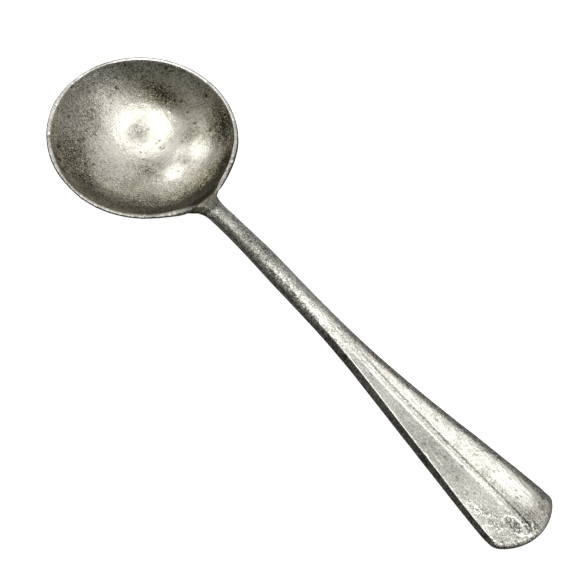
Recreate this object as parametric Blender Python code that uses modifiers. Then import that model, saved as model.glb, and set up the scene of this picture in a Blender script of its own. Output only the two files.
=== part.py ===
"""Serving spoon: a raised round bowl, a cast handle with a fluted flat end, and
the solder that joins the handle's foot to the bowl wall.

World frame: the spoon lies as it does on a table. +X runs from the bowl to the
handle's tip, +Z is up, the table is z = 0 and the origin is the centre of the
worn flat under the bowl. The pieces are drawn in the rim frame (z = 0 is the
plane of the rim, its axis is the bowl's axis) and hang on one empty, which
leans that frame towards the tip until the tip meets the table.
"""
import math

import bpy
import bmesh
from mathutils import Matrix, Vector

MM = 0.001

# ---- bowl ---------------------------------------------------------------
RIM_RADIUS = 30.0 * MM        # outside of the rim
BOWL_DEPTH = 15.6 * MM        # outside, from rim plane to the deepest point
BOWL_WALL = 0.9 * MM
BOWL_ARC = math.radians(60)   # arc of the profile, sets the slope at the rim
LIP_ROUND = 0.22 * MM         # dressed edge of the rim
BOWL_STEPS = 64
PROFILE_STEPS = 12
FLAT_SAG = 0.28 * MM          # metal worn away under the bowl

# ---- handle -------------------------------------------------------------
FOOT_X = 25.0 * MM            # the blank starts inside the bowl wall
POLE_X = 160.0 * MM           # centre of the rounded tip
TIP_X = 169.0 * MM            # end of the handle
TIP_ARC = 15.0 * MM           # plan radius of the end
TIP_CORNER = 3.0 * MM         # plan radius of its corners
# half width of the plan outline at a few places along the handle
HALF_WIDTH = [(36.0, 3.2), (48.0, 3.3), (60.0, 3.6), (76.0, 3.7), (88.0, 3.95),
              (100.0, 4.7), (112.0, 5.9), (124.0, 7.25), (136.0, 8.75),
              (148.0, 10.2), (160.0, 11.5), (170.0, 12.1)]
# height of the middle of the handle over the rim plane
SPINE = [(36.0, -0.5), (46.0, 0.3), (57.0, 0.65), (76.0, 0.4), (95.0, 0.1),
         (112.0, -0.15), (124.0, 0.05), (138.0, 0.75), (152.0, 1.5), (168.0, 2.6)]
# half thickness
HALF_THICK = [(36.0, 2.5), (60.0, 2.5), (90.0, 2.3), (120.0, 2.15), (150.0, 2.0),
              (168.0, 1.6)]
FILLET = 6.5 * MM             # plan radius between stem and rim
FOOT_TOP = 0.0 * MM           # the foot's top is level with the rim
FOOT_BOTTOM = -5.4 * MM
EDGE_ROUND = 2.5 * MM         # rounded edge of the flat end, measured across
BLADE_START, BLADE_FULL = 70.0 * MM, 112.0 * MM   # round stem turns into flat end
FLUTE_DEPTH = 0.75 * MM
RIB_HALF = 0.62 * MM
RIB_HIGH = 0.42 * MM
RIB_START, RIB_FULL = 88.0 * MM, 104.0 * MM
TIP_SAG = 0.10 * MM           # metal worn away under the tip

# ---- solder -------------------------------------------------------------
GAP = 0.15 * MM               # clearance on each side of the solder layer
SOLDER = 0.35 * MM
SOLDER_SPILL = 0.45 * MM      # how far the solder stands out round the foot


# ---- helpers ------------------------------------------------------------
def smoothstep(a, b, x):
    t = min(1.0, max(0.0, (x - a) / (b - a)))
    return t * t * (3.0 - 2.0 * t)


def along(table, x):
    """Smooth curve through the (x, value) places of a table, in millimetres."""
    x = x / MM
    xs = [p[0] for p in table]
    ys = [p[1] for p in table]
    if x <= xs[0]:
        return ys[0] * MM
    if x >= xs[-1]:
        return ys[-1] * MM
    n = len(xs)
    slopes = []
    for i in range(n):
        lo, hi = max(0, i - 1), min(n - 1, i + 1)
        slopes.append((ys[hi] - ys[lo]) / (xs[hi] - xs[lo]))
    i = max(k for k in range(n - 1) if xs[k] <= x)
    h = xs[i + 1] - xs[i]
    t = (x - xs[i]) / h
    a = (1 + 2 * t) * (1 - t) ** 2
    b = t * (1 - t) ** 2 * h
    c = t * t * (3 - 2 * t)
    d = t * t * (t - 1) * h
    return (a * ys[i] + b * slopes[i] + c * ys[i + 1] + d * slopes[i + 1]) * MM


def outer_point(t, offset=0.0):
    """Point of the bowl's outer profile at arc t, moved outwards by offset."""
    k = 1.0 - math.cos(BOWL_ARC)
    r = RIM_RADIUS * math.sin(t) / math.sin(BOWL_ARC)
    z = -BOWL_DEPTH * (math.cos(t) - math.cos(BOWL_ARC)) / k
    tr = RIM_RADIUS * math.cos(t) / math.sin(BOWL_ARC)
    tz = BOWL_DEPTH * math.sin(t) / k
    ln = math.hypot(tr, tz)
    return r + offset * tz / ln, z - offset * tr / ln


def foot_half_width(x):
    """Plan half width of the foot: a fillet between the stem and the rim."""
    stem = along(HALF_WIDTH, 36.0 * MM)
    cx = math.sqrt((RIM_RADIUS + FILLET) ** 2 - (stem + FILLET) ** 2)
    if x >= cx:
        return along(HALF_WIDTH, x)
    d = min(cx - x, FILLET * 0.985)
    return stem + FILLET - math.sqrt(FILLET ** 2 - d * d)


def handle_levels(x):
    """Middle height and half thickness of the handle at x."""
    mid, half = along(SPINE, x), along(HALF_THICK, x)
    top, bottom = mid + half, mid - half
    w = 1.0 - smoothstep(29.5 * MM, 39.0 * MM, x)
    top = top + (FOOT_TOP - top) * w
    v = 1.0 - smoothstep(27.0 * MM, 37.0 * MM, x)
    bottom = bottom + (FOOT_BOTTOM - bottom) * v
    return (top + bottom) / 2, (top - bottom) / 2


def half_section(x, reach, grow=0.0):
    """Half of a section, from the top on the middle line round the edge to the
    underside, as (distance from the middle line, height)."""
    mid, half = handle_levels(x)
    half += grow
    blade = smoothstep(BLADE_START, BLADE_FULL, x)
    rib = smoothstep(RIB_START, RIB_FULL, x) * (1 - smoothstep(POLE_X - 5 * MM, POLE_X, x))
    edge = min(EDGE_ROUND, reach * 0.8)
    flat = reach - edge
    inner = [0.0, RIB_HALF * 0.8, RIB_HALF * 1.25, RIB_HALF * 1.9]
    inner = [min(v, flat * (0.1 * i)) for i, v in enumerate(inner)]
    more = 5
    inner += [inner[-1] + (flat - inner[-1]) * (i + 1) / more for i in range(more)]
    rounds = 5
    across = [(v, 1.0) for v in inner]
    across += [(flat + edge * math.sin(math.pi / 2 * (i + 1) / rounds),
                math.cos(math.pi / 2 * (i + 1) / rounds)) for i in range(rounds)]
    count = len(across) - 1
    top, bottom = [], []
    for i, (v, lift) in enumerate(across):
        q = math.pi / 2 * i / count
        stem_y, stem_z = reach * math.sin(q), half * math.cos(q)
        y = stem_y + (v - stem_y) * blade
        z = stem_z + (half * lift - stem_z) * blade
        s = min(1.0, y / max(flat, 1e-9))
        hollow = FLUTE_DEPTH * blade * math.cos(math.pi / 2 * s) ** 1.2 if s < 1 else 0.0
        ridge = RIB_HIGH * rib * (1 - smoothstep(RIB_HALF * 0.7, RIB_HALF * 1.4, y))
        top.append((y, mid + z - hollow + ridge))
        bottom.append((y, mid - z))
    return top + bottom[-2::-1]


def ray_to_circle(cx, cy, radius, dx, dy):
    """Far meeting of a ray from the tip's centre with a circle, both in plan."""
    along_ray = cx * dx + cy * dy
    off = cx * cx + cy * cy - along_ray * along_ray
    return along_ray + math.sqrt(max(radius * radius - off, 0.0))


def tip_reach(angle):
    """Distance from the tip's centre to its outline in one plan direction: the
    straight side, then the rounded corner, then the arc of the end."""
    dx, dy = math.cos(angle), math.sin(angle)
    wide = along(HALF_WIDTH, POLE_X)
    end_x = TIP_X - TIP_ARC - POLE_X
    cy = wide - TIP_CORNER
    cx = end_x + math.sqrt((TIP_ARC - TIP_CORNER) ** 2 - cy * cy)
    turn = math.atan2(cy, cx - end_x)
    join = math.atan2(TIP_ARC * math.sin(turn), end_x + TIP_ARC * math.cos(turn))
    if angle >= math.atan2(wide, cx):
        return wide / dy, dx, dy
    if angle >= join:
        return ray_to_circle(cx, cy, TIP_CORNER, dx, dy), dx, dy
    return ray_to_circle(end_x, 0.0, TIP_ARC, dx, dy), dx, dy


def handle_half(stations, grow=0.0, tip=True):
    """Half of the handle (y >= 0), open on the plane y = 0."""
    bm = bmesh.new()
    rings = []
    for x in stations:
        reach = foot_half_width(x) + grow
        rings.append([bm.verts.new((x, y, z)) for y, z in half_section(x, reach, grow)])
    if tip:
        turns = 12
        last = rings[-1]
        for k in range(1, turns + 1):
            ln, dx, dy = tip_reach(math.pi / 2 * (1 - k / turns))
            if k == turns:
                dx, dy = 1.0, 0.0
            pts = half_section(POLE_X, ln)
            ring = [last[0]]
            for d, z in pts[1:-1]:
                x = POLE_X + d * dx
                lift = along(SPINE, x) - along(SPINE, POLE_X)
                mid, half = handle_levels(POLE_X)
                thin = handle_levels(x)[1] / half
                ring.append(bm.verts.new((x, d * dy, mid + lift + (z - mid) * thin)))
            ring.append(last[-1])
            rings.append(ring)
    for a, b in zip(rings, rings[1:]):
        for i in range(len(a) - 1):
            loop = [a[i], a[i + 1], b[i + 1], b[i]]
            loop = [v for n, v in enumerate(loop) if v not in loop[:n]]
            bm.faces.new(loop)
    bm.faces.new(rings[0][::-1])
    if not tip:
        bm.faces.new(rings[-1])
    bmesh.ops.recalc_face_normals(bm, faces=bm.faces)
    if sum(f.calc_area() * f.normal.y for f in bm.faces) < 0:
        bmesh.ops.reverse_faces(bm, faces=bm.faces)
    return bm


def mesh_object(name, bm, collection, parent):
    mesh = bpy.data.meshes.new(name)
    bm.to_mesh(mesh)
    bm.free()
    obj = bpy.data.objects.new(name, mesh)
    collection.objects.link(obj)
    obj.parent = parent
    return obj


def turned(name, profile, collection, parent):
    bm = bmesh.new()
    verts = [bm.verts.new((r, 0.0, z)) for r, z in profile]
    for a, b in zip(verts, verts[1:]):
        bm.edges.new((a, b))
    obj = mesh_object(name, bm, collection, parent)
    screw = obj.modifiers.new("turn", "SCREW")
    screw.axis = "Z"
    screw.angle = 2 * math.pi
    screw.steps = screw.render_steps = BOWL_STEPS
    screw.use_merge_vertices = True
    screw.merge_threshold = 0.00001
    screw.use_smooth_shade = True
    return obj


def mirrored(obj):
    m = obj.modifiers.new("both sides", "MIRROR")
    m.use_axis = (False, True, False)
    m.use_clip = True
    m.merge_threshold = 0.00001


def boolean(obj, cutter, operation):
    m = obj.modifiers.new(operation.lower() + " " + cutter.name, "BOOLEAN")
    m.object = cutter
    m.operation = operation
    m.solver = "EXACT"


def guide(obj):
    obj.hide_render = True
    obj.display_type = "WIRE"


def metal(obj, name, color, roughness):
    mat = bpy.data.materials.new(name)
    mat.use_nodes = True
    bsdf = mat.node_tree.nodes["Principled BSDF"]
    bsdf.inputs["Base Color"].default_value = (*color, 1.0)
    bsdf.inputs["Metallic"].default_value = 1.0
    bsdf.inputs["Roughness"].default_value = roughness
    obj.data.materials.append(mat)


# ---- how the spoon settles on the table ---------------------------------
def lowest(points, tilt):
    return min((-x * math.sin(tilt) + z * math.cos(tilt), x) for x, z in points)


def settle():
    """Lean of the rim frame at which tip and bowl wear to the same table."""
    bowl_pts = []
    for i in range(-400, 401):
        r, z = outer_point(abs(i) / 400.0 * 0.5)
        bowl_pts.append((math.copysign(r, i), z))
    tip_pts = []
    for i in range(400):
        x = POLE_X - 40 * MM + i * 0.125 * MM
        mid, half = handle_levels(x)
        if x < TIP_X - 2 * MM:
            tip_pts.append((x, mid - half))
    lo, hi = 0.0, math.radians(15)
    for _ in range(60):
        tilt = (lo + hi) / 2
        bowl_low = lowest(bowl_pts, tilt)[0] + FLAT_SAG
        tip_low = lowest(tip_pts, tilt)[0] + TIP_SAG
        if tip_low > bowl_low:
            lo = tilt
        else:
            hi = tilt
    z, x = lowest(bowl_pts, tilt)
    r_z = [p for p in bowl_pts if p[0] == x][0][1]
    return tilt, -(x * math.cos(tilt) + r_z * math.sin(tilt)), -(z + FLAT_SAG)


# ---- build --------------------------------------------------------------
for old in list(bpy.data.objects):
    bpy.data.objects.remove(old, do_unlink=True)

parts = bpy.data.collections.new("serving_spoon")
cutters = bpy.data.collections.new("serving_spoon_cutters")
bpy.context.scene.collection.children.link(parts)
bpy.context.scene.collection.children.link(cutters)

TILT, SHIFT_X, SHIFT_Z = settle()
rim_frame = bpy.data.objects.new("rim_frame", None)
parts.objects.link(rim_frame)
rim_frame.location = (SHIFT_X, 0.0, SHIFT_Z)
rim_frame.rotation_euler = (0.0, TILT, 0.0)

# table plane that the undersides are worn to
bm = bmesh.new()
bmesh.ops.create_cube(bm, size=1.0, matrix=Matrix.Translation((0.07, 0.0, -0.01))
                      @ Matrix.Diagonal((0.30, 0.10, 0.02, 1.0)))
table = mesh_object("table_plane", bm, cutters, None)
guide(table)

# bowl: inside from the middle up to the rim, over the lip, down the outside
inside = [outer_point(BOWL_ARC * i / PROFILE_STEPS, -BOWL_WALL) for i in range(PROFILE_STEPS)]
inside[0] = (0.0, inside[0][1])
edge_r, edge_z = outer_point(BOWL_ARC, -BOWL_WALL)
slope = (RIM_RADIUS - edge_r) / max(-edge_z, 1e-9)
inner_r = RIM_RADIUS - BOWL_WALL / math.sin(math.atan2(
    BOWL_DEPTH * math.sin(BOWL_ARC) / (1 - math.cos(BOWL_ARC)),
    RIM_RADIUS * math.cos(BOWL_ARC) / math.sin(BOWL_ARC)))
inside = [p for p in inside if p[1] < -1.2 * MM]
lip = [(inner_r - 0.42 * LIP_ROUND, -0.9 * LIP_ROUND), (inner_r + 0.9 * LIP_ROUND, 0.0),
       (RIM_RADIUS - LIP_ROUND, 0.0), (RIM_RADIUS, -LIP_ROUND)]
outside = [outer_point(BOWL_ARC * i / PROFILE_STEPS) for i in range(PROFILE_STEPS - 1, -1, -1)]
outside = [p for p in outside if p[1] < -1.0 * MM]
outside[-1] = (0.0, outside[-1][1])
bowl = turned("bowl", inside + lip + outside, parts, rim_frame)
boolean(bowl, table, "DIFFERENCE")
metal(bowl, "tarnished_bowl", (0.36, 0.35, 0.31), 0.38)


def seat_profile(offset, top):
    """Filled body of the bowl, grown by offset and carried up to top."""
    pts = [(0.0, top), (RIM_RADIUS + offset, top)]
    pts += [outer_point(BOWL_ARC * i / PROFILE_STEPS, offset)
            for i in range(PROFILE_STEPS, -1, -1)]
    pts[2] = (RIM_RADIUS + offset, min(pts[2][1], -0.02 * MM))
    pts[-1] = (0.0, pts[-1][1])
    return pts


# handle: half of the blank, mirrored, seated on the bowl, worn under the tip
seat = turned("handle_seat", seat_profile(2 * GAP + SOLDER, 12 * MM), cutters, rim_frame)
guide(seat)
stations = [FOOT_X + (31.0 * MM - FOOT_X) * i / 5 for i in range(5)]
stations += [(31.0 + 5.0 * i / 8) * MM for i in range(8)]
stations += [(36.0 + 124.0 * i / 30) * MM for i in range(31)]
handle = mesh_object("handle", handle_half(stations), parts, rim_frame)
mirrored(handle)
boolean(handle, seat, "DIFFERENCE")
boolean(handle, table, "DIFFERENCE")
metal(handle, "worn_handle", (0.56, 0.55, 0.52), 0.34)

# solder: a layer on the bowl wall, a little wider than the foot it holds
ring_in = seat_profile(GAP, 12 * MM)
hollow = turned("solder_inside", ring_in, cutters, rim_frame)
guide(hollow)
layer = seat_profile(GAP + SOLDER, -0.05 * MM)
body = turned("solder_outside", layer, cutters, rim_frame)
guide(body)
solder_stations = [FOOT_X + (33.0 * MM - FOOT_X) * i / 12 for i in range(13)]
solder = mesh_object("solder_seam", handle_half(solder_stations, SOLDER_SPILL, tip=False),
                     parts, rim_frame)
mirrored(solder)
boolean(solder, body, "INTERSECT")
boolean(solder, hollow, "DIFFERENCE")
metal(solder, "dull_solder", (0.30, 0.31, 0.28), 0.45)

# round pieces are shaded smooth, the arrises of the worn flats stay sharp
for piece in (handle, solder, bowl):
    piece.data.shade_smooth()
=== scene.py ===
"""Looks of the serving spoon: aged pewter on a pale floor.

The three pieces are modelled again at a fine mesh, on the same sizes as the solids they
stand for, with the hand-worked unevenness, dents, pits, nicks and wear of an old spoon.
Shapes are drawn in millimetres in the rim frame (z = 0 is the plane of the bowl's rim,
+x runs to the handle's tip) and carried to the table by one lean.
"""

import math

import bpy
import numpy as np
from mathutils import Matrix, Vector


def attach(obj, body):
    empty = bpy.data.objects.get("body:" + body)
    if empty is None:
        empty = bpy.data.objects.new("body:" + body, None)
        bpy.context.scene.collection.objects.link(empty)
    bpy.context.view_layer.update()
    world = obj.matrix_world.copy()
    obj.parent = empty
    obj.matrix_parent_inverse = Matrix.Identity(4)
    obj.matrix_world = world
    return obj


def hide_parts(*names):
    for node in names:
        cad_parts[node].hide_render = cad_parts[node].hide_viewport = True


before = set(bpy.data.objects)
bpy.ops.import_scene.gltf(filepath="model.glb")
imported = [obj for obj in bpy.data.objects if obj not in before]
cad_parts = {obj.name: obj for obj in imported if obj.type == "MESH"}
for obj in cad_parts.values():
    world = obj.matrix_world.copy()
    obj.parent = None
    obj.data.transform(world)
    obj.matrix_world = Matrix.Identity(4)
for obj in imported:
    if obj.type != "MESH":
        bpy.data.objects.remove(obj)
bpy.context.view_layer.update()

# ---- sizes, millimetres ---------------------------------------------------
RIM_R, DEPTH, WALL = 30.0, 15.6, 0.9
ARC = math.radians(60)
TIP_X, TIP_ARC = 169.0, 15.0
CORNER_LEFT, CORNER_RIGHT = 4.2, 3.0
POLE_X = 160.0
HALF_WIDTH = [(36.0, 3.2), (48.0, 3.3), (60.0, 3.6), (76.0, 3.7), (88.0, 3.95),
              (100.0, 4.7), (112.0, 5.9), (124.0, 7.25), (136.0, 8.75),
              (148.0, 10.2), (160.0, 11.5), (170.0, 12.1)]
SPINE = [(36.0, -0.5), (46.0, 0.3), (57.0, 0.65), (76.0, 0.4), (95.0, 0.1),
         (112.0, -0.15), (124.0, 0.05), (138.0, 0.75), (152.0, 1.5), (168.0, 2.6)]
HALF_THICK = [(36.0, 2.5), (60.0, 2.5), (90.0, 2.3), (120.0, 2.15), (150.0, 2.0),
              (168.0, 1.6)]
FILLET = {-1: 11.0, 1: 6.8}
FOOT_TOP, FOOT_BOTTOM = -0.45, -5.4
# small corrections of the half width along the foot and stem, left and right
TRIM = {-1: [(29.5, 0.0), (30.4, 0.10), (31.4, -0.05), (32.4, -0.66), (33.4, -0.66), (34.4, -0.56), (35.4, -0.36),
             (36.4, -0.12), (37.6, 0.09), (42.0, 0.06), (50.0, 0.06), (58.0, 0.04), (64.0, 0.10), (72.0, 0.04),
             (80.0, 0.0)],
        1: [(29.5, 0.0), (30.4, -0.08), (31.4, -0.28), (32.4, -0.20), (33.4, -0.08), (34.4, 0.0), (36.0, -0.04),
            (37.4, -0.15), (45.0, -0.12), (50.0, -0.06), (56.0, -0.06), (64.0, -0.13), (72.0, -0.04), (80.0, 0.0)]}
LEAN = math.radians(5.6476)
SHIFT_X, SHIFT_Z = -2.2245, 15.4309

BLADE_START, BLADE_FULL = 72.0, 107.0
FLUTE = 0.72
RIB_HIGH, RIB_WIDE = 0.11, 0.88
RIB_START, RIB_FULL, RIB_END = 88.0, 106.0, 164.6
BEVEL = [(70.0, 1.4), (112.0, 1.35), (124.0, 1.2), (136.0, 1.15), (148.0, 0.95), (158.0, 1.0), (168.0, 1.15)]
BEVEL_DOWN = 0.95             # the left side leans out from a crisp edge to this share of half
EDGE_RIGHT = (5.0, 1.9)       # across, down: the edge worn round
EDGE_TIP = (1.5, 0.8)
EDGE_UNDER = {-1: (2.2, 1.75), 1: (1.7, 1.1)}


# ---- small tools ------------------------------------------------------------
def step(a, b, x):
    t = np.clip((np.asarray(x, float) - a) / (b - a), 0.0, 1.0)
    return t * t * (3.0 - 2.0 * t)


def along(table, x):
    """Smooth curve through the (x, value) places of a table."""
    xs = np.array([p[0] for p in table])
    ys = np.array([p[1] for p in table])
    n = len(xs)
    slope = np.array([(ys[min(n - 1, i + 1)] - ys[max(0, i - 1)])
                      / (xs[min(n - 1, i + 1)] - xs[max(0, i - 1)]) for i in range(n)])
    x = np.clip(np.asarray(x, float), xs[0], xs[-1])
    i = np.clip(np.searchsorted(xs, x, side="right") - 1, 0, n - 2)
    h = xs[i + 1] - xs[i]
    t = (x - xs[i]) / h
    return ((1 + 2 * t) * (1 - t) ** 2 * ys[i] + t * (1 - t) ** 2 * h * slope[i]
            + t * t * (3 - 2 * t) * ys[i + 1] + t * t * (t - 1) * h * slope[i + 1])


def scatter(ix, iy, iz, seed):
    """Repeatable values from 0 to 1 on a lattice."""
    h = (ix.astype(np.int64) * 374761393 + iy.astype(np.int64) * 668265263
         + iz.astype(np.int64) * 1440662683 + seed * 974634777) & 0xFFFFFFFF
    h = ((h ^ (h >> 13)) * 1274126177) & 0xFFFFFFFF
    h = ((h ^ (h >> 16)) * 668265263) & 0xFFFFFFFF
    return ((h ^ (h >> 15)) & 0xFFFFFF) / float(0xFFFFFF)


def waves(p, size, seed, octaves=2):
    """Smooth noise from -1 to 1 over points in millimetres."""
    total, weight, out = 0.0, 1.0, 0.0
    for o in range(octaves):
        q = p / (size / 2.0 ** o) + 17.3 * (o + 1)
        base = np.floor(q)
        f = q - base
        f = f * f * f * (f * (f * 6 - 15) + 10)
        acc = 0.0
        for dx in (0, 1):
            for dy in (0, 1):
                for dz in (0, 1):
                    w = ((f[:, 0] if dx else 1 - f[:, 0]) * (f[:, 1] if dy else 1 - f[:, 1])
                         * (f[:, 2] if dz else 1 - f[:, 2]))
                    acc = acc + w * scatter(base[:, 0] + dx, base[:, 1] + dy, base[:, 2] + dz,
                                            seed + 31 * o)
        out = out + weight * (2 * acc - 1)
        total += weight
        weight *= 0.5
    return out / total


def blob(x, y, cx, cy, rx, ry, turn=0.0):
    """Soft oval patch, 1 in the middle."""
    c, s = math.cos(math.radians(turn)), math.sin(math.radians(turn))
    u = ((x - cx) * c + (y - cy) * s) / rx
    v = (-(x - cx) * s + (y - cy) * c) / ry
    return np.exp(-(u * u + v * v))


def to_table(p):
    """Rim frame in millimetres to the spoon's frame in metres."""
    c, s = math.cos(LEAN), math.sin(LEAN)
    return np.stack([c * p[:, 0] + s * p[:, 2] + SHIFT_X, p[:, 1],
                     -s * p[:, 0] + c * p[:, 2] + SHIFT_Z], 1) * 0.001


def make_piece(name, points, faces, values):
    mesh = bpy.data.meshes.new(name)
    mesh.from_pydata(points.tolist(), [], faces)
    mesh.validate()
    mesh.shade_smooth()
    for key, data in values.items():
        layer = mesh.attributes.new(key, "FLOAT", "POINT")
        layer.data.foreach_set("value", np.asarray(data, np.float32))
    obj = bpy.data.objects.new(name, mesh)
    bpy.context.scene.collection.objects.link(obj)
    return obj


# ---- bowl -------------------------------------------------------------------
def profile(t, offset):
    """Bowl profile at arc t, moved outwards by offset: radius and height."""
    k = 1.0 - math.cos(ARC)
    r = RIM_R * np.sin(t) / math.sin(ARC)
    z = -DEPTH * (np.cos(t) - math.cos(ARC)) / k
    tr = RIM_R * np.cos(t) / math.sin(ARC)
    tz = DEPTH * np.sin(t) / k
    ln = np.hypot(tr, tz)
    return r + offset * tz / ln, z - offset * tr / ln


def arc_at_height(offset, height):
    lo, hi = 0.2, ARC + 0.2
    for _ in range(60):
        m = (lo + hi) / 2
        if profile(np.array(m), offset)[1] < height:
            lo = m
        else:
            hi = m
    return (lo + hi) / 2


def disk(n):
    """Square grid of n by n cells laid on the unit disk, and its edge in order."""
    a = np.linspace(-1, 1, n + 1)
    u, v = np.meshgrid(a, a, indexing="ij")
    big = np.abs(u) > np.abs(v)
    rho = np.where(big, u, v)
    safe_u = np.where(u == 0, 1.0, u)
    safe_v = np.where(v == 0, 1.0, v)
    phi = np.where(big, math.pi / 4 * v / safe_u, math.pi / 2 - math.pi / 4 * u / safe_v)
    x, y = rho * np.cos(phi), rho * np.sin(phi)
    idx = np.arange((n + 1) ** 2).reshape(n + 1, n + 1)
    quads = np.stack([idx[:-1, :-1], idx[1:, :-1], idx[1:, 1:], idx[:-1, 1:]], -1).reshape(-1, 4)
    edge = np.concatenate([idx[:-1, 0], idx[-1, :-1], idx[:0:-1, -1], idx[0, :0:-1]])
    return x.ravel(), y.ravel(), quads, edge


# dents of the raised sheet: place, size and depth (positive stands into the bowl)
DENTS = [(10.0, 13.0, 5.0, 3.6, 20, 0.10), (12.0, 3.5, 3.8, 3.2, 0, -0.13),
         (4.0, 19.5, 6.0, 3.0, -20, 0.08), (-18.5, -12.0, 6.0, 5.0, 40, -0.08),
         (3.0, -17.0, 6.0, 4.0, 10, 0.07), (-13.0, 17.0, 5.0, 3.5, 40, 0.09),
         (19.0, -4.0, 4.0, 5.0, 0, 0.08)]
BOWL_PITS = [(-28.0, -5.9, 0.55, 0.12), (2.6, 19.6, 0.45, 0.08), (-10.2, -25.0, 0.6, 0.1),
             (-13.0, 25.9, 0.5, 0.1), (-24.2, 8.4, 0.45, 0.08), (-15.0, -12.0, 0.5, 0.08),
             (-6.5, -15.0, 0.45, 0.08), (5.4, 6.9, 0.4, 0.05), (8.5, 20.8, 0.45, 0.08),
             (11.4, 5.2, 0.35, 0.06), (-2.0, 8.3, 0.35, 0.05), (15.0, -13.5, 0.4, 0.07)]
# dark flecks of the bowl: place, half length, half width, turn, strength
BOWL_FLECKS = [(-14.5, -22.2, 0.85, 0.30, -35, 1.0), (-6.2, -26.6, 0.70, 0.30, -13, 1.0),
               (-11.5, -15.8, 0.50, 0.24, 41, 1.0), (-7.5, -17.5, 0.42, 0.32, -40, 1.0),
               (-5.8, -11.0, 0.45, 0.22, 0, 0.9), (-4.9, -11.3, 0.30, 0.20, 0, 0.8),
               (-14.8, -7.5, 0.40, 0.30, 10, 0.8), (-17.0, -9.5, 0.50, 0.35, 30, 0.6),
               (-21.2, -3.8, 0.40, 0.30, 60, 0.9), (-22.0, -12.2, 0.38, 0.28, 0, 0.9),
               (-9.8, -19.5, 0.36, 0.26, 20, 0.8), (0.2, 7.0, 0.34, 0.24, 0, 0.9),
               (1.0, 7.6, 0.32, 0.22, 30, 0.8), (3.8, 13.2, 0.32, 0.24, 0, 0.6),
               (-2.0, 20.2, 0.34, 0.26, 0, 0.7), (14.0, 1.2, 0.50, 0.20, 50, 0.7),
               (15.5, 2.5, 0.45, 0.20, 40, 0.7), (-7.2, 8.0, 0.40, 0.22, 20, 0.6),
               (-15.8, 23.0, 0.60, 0.26, 44, 1.0), (-14.6, 23.0, 0.60, 0.26, 48, 1.0),
               (-16.0, 21.4, 0.40, 0.26, 44, 0.9), (-11.5, 26.0, 0.50, 0.30, 24, 0.9),
               (-22.3, 7.0, 0.42, 0.34, 0, 1.0), (-6.0, 21.0, 0.36, 0.26, 20, 0.7),
               (-0.5, 26.6, 0.60, 0.40, 10, 1.0), (-4.8, 27.2, 0.40, 0.30, 10, 0.8),
               (-26.5, 13.0, 0.50, 0.30, -60, 0.9), (-27.0, 4.5, 0.34, 0.26, 90, 0.7)]
# the lip, round the rim by turn in degrees: how far it is thickened inwards, tarnish of its crown,
# where the painted shade of its outer edge starts (share of the way over the crown) and how dark that painted shade is
LIP_OUT, LIP_HIGH = 0.20, 0.40
LIP_IN = [(-180.0, -0.16), (-165.0, -0.10), (-150.0, 0.18), (-130.0, 0.20), (-110.0, 0.24), (-90.0, 0.08),
          (-70.0, 0.14), (-50.0, 0.18), (-30.0, 0.16), (-20.0, 0.06), (-15.0, -0.15), (-10.0, -0.45), (-5.0, -0.60),
          (0.0, -0.65), (5.0, -0.70), (10.0, -0.65), (15.0, 0.0), (20.0, 0.30), (25.0, 0.45), (40.0, 0.48),
          (50.0, 0.14), (60.0, 0.03), (80.0, 0.0), (100.0, 0.06), (125.0, -0.02), (150.0, -0.05), (180.0, -0.16)]
LIP_TONE = [(-180.0, 0.26), (-168.0, 0.30), (-150.0, 0.20), (-125.0, 0.20), (-105.0, 0.22), (-90.0, 0.34),
            (-70.0, 0.28), (-55.0, 0.38), (-40.0, 0.50), (-30.0, 0.54), (-21.0, 0.30), (-14.0, 0.34), (9.0, 0.68),
            (15.0, 0.42), (20.0, 0.39), (27.0, 0.43), (40.0, 0.37), (62.0, 0.37), (80.0, 0.26), (100.0, 0.15), (130.0, 0.14),
            (155.0, 0.16), (168.0, 0.56), (174.0, 0.40), (180.0, 0.26)]
LIP_EDGE = [(-180.0, 0.68), (-130.0, 0.66), (-110.0, 0.63), (-85.0, 0.62), (-60.0, 0.62), (-30.0, 0.62),
            (-15.0, 0.53), (8.0, 0.75), (15.0, 0.58), (24.0, 0.54), (45.0, 0.57), (65.0, 0.62), (90.0, 0.68),
            (130.0, 0.74), (180.0, 0.68)]
LIP_EDGE_SHADE = [(-180.0, 0.50), (-120.0, 0.62), (-90.0, 0.80), (-60.0, 0.72), (-30.0, 0.55), (-15.0, 0.60), (8.0, 0.15),
            (15.0, 0.36), (22.0, 0.52), (45.0, 0.70), (70.0, 0.60), (95.0, 0.55), (130.0, 0.50), (180.0, 0.50)]
# how far the outside of the rim is drawn out, most of all towards the handle, and its dip there
LIP_DRAW = [(-180.0, 0.0), (-162.0, 0.08), (-150.0, 0.22), (-138.0, 0.05), (-100.0, -0.12), (-90.0, -0.26),
            (-78.0, -0.10), (-50.0, 0.0), (-34.0, 0.06), (-30.0, 0.14), (-26.0, 0.30), (-22.0, 0.58), (-18.0, 0.90),
            (-15.0, 1.05), (-11.0, 1.05), (-6.0, 0.80), (0.0, 0.62), (8.0, 0.46), (12.0, 0.38), (16.0, 0.20),
            (20.0, 0.04), (28.0, -0.12), (36.0, -0.10), (44.0, 0.0), (180.0, 0.0)]
ROOT_DIP = 0.50
# nicks of the rim: turn round the axis in degrees, half width, depth
RIM_NICKS = [(-78.0, 0.55, 0.22), (-68.0, 0.45, 0.20), (-128.0, 0.5, 0.12), (150.0, 0.6, 0.12),
             (96.0, 0.6, 0.14), (62.0, 0.5, 0.10), (31.0, 0.45, 0.10), (-150.0, 0.4, 0.10),
             (-40.0, 0.5, 0.12), (118.0, 0.4, 0.08)]


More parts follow.
